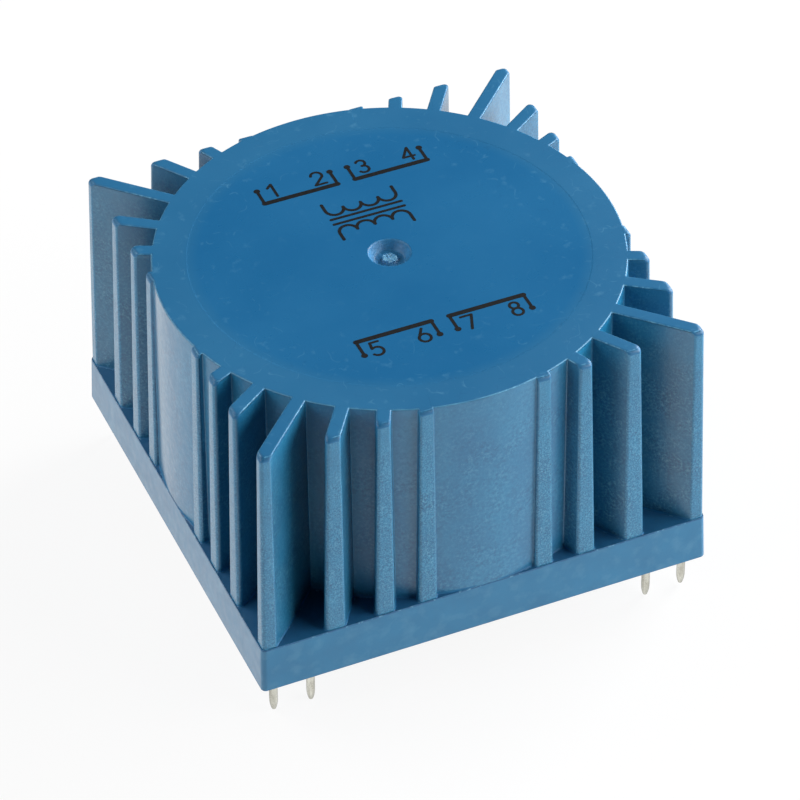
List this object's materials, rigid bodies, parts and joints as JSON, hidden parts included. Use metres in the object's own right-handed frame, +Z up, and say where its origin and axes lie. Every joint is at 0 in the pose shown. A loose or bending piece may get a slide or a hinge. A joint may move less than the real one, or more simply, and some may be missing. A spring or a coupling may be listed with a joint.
{
  "type": "encapsulated toroidal transformer",
  "caption": "Low round transformer potted in a finned square-footed plastic can, with solder pins below for a circuit board.",
  "frame": {"origin": "middle of the foot's underside, in the plane that seats on the circuit board", "axes": "+Z up, -Y towards the front, X along the two rows of pins"},
  "size_m": [0.061, 0.061, 0.0433],
  "materials": {
    "can": "moulded blue plastic, smooth glossy top and fine spark-eroded grain on the sides",
    "resin": "cast potting resin",
    "pins": "dull tin plating"
  },
  "bodies": {
    "root": {"foot": "can", "drum": "can", "potting": "resin", "front_fin_1": "can", "front_fin_2": "can", "front_fin_3": "can", "front_fin_4": "can", "front_fin_5": "can", "front_fin_6": "can", "right_fin_1": "can", "right_fin_2": "can", "right_fin_3": "can", "right_fin_4": "can", "right_fin_5": "can", "right_fin_6": "can", "back_fin_1": "can", "back_fin_2": "can", "back_fin_3": "can", "back_fin_4": "can", "back_fin_5": "can", "back_fin_6": "can", "left_fin_1": "can", "left_fin_2": "can", "left_fin_3": "can", "left_fin_4": "can", "left_fin_5": "can", "left_fin_6": "can", "corner_fin_front_left": "can", "corner_fin_front_right": "can", "corner_fin_back_right": "can", "corner_fin_back_left": "can", "front_pin_1": "pins", "front_pin_2": "pins", "front_pin_3": "pins", "front_pin_4": "pins", "back_pin_1": "pins", "back_pin_2": "pins", "back_pin_3": "pins", "back_pin_4": "pins"}
  },
  "joints": []
}
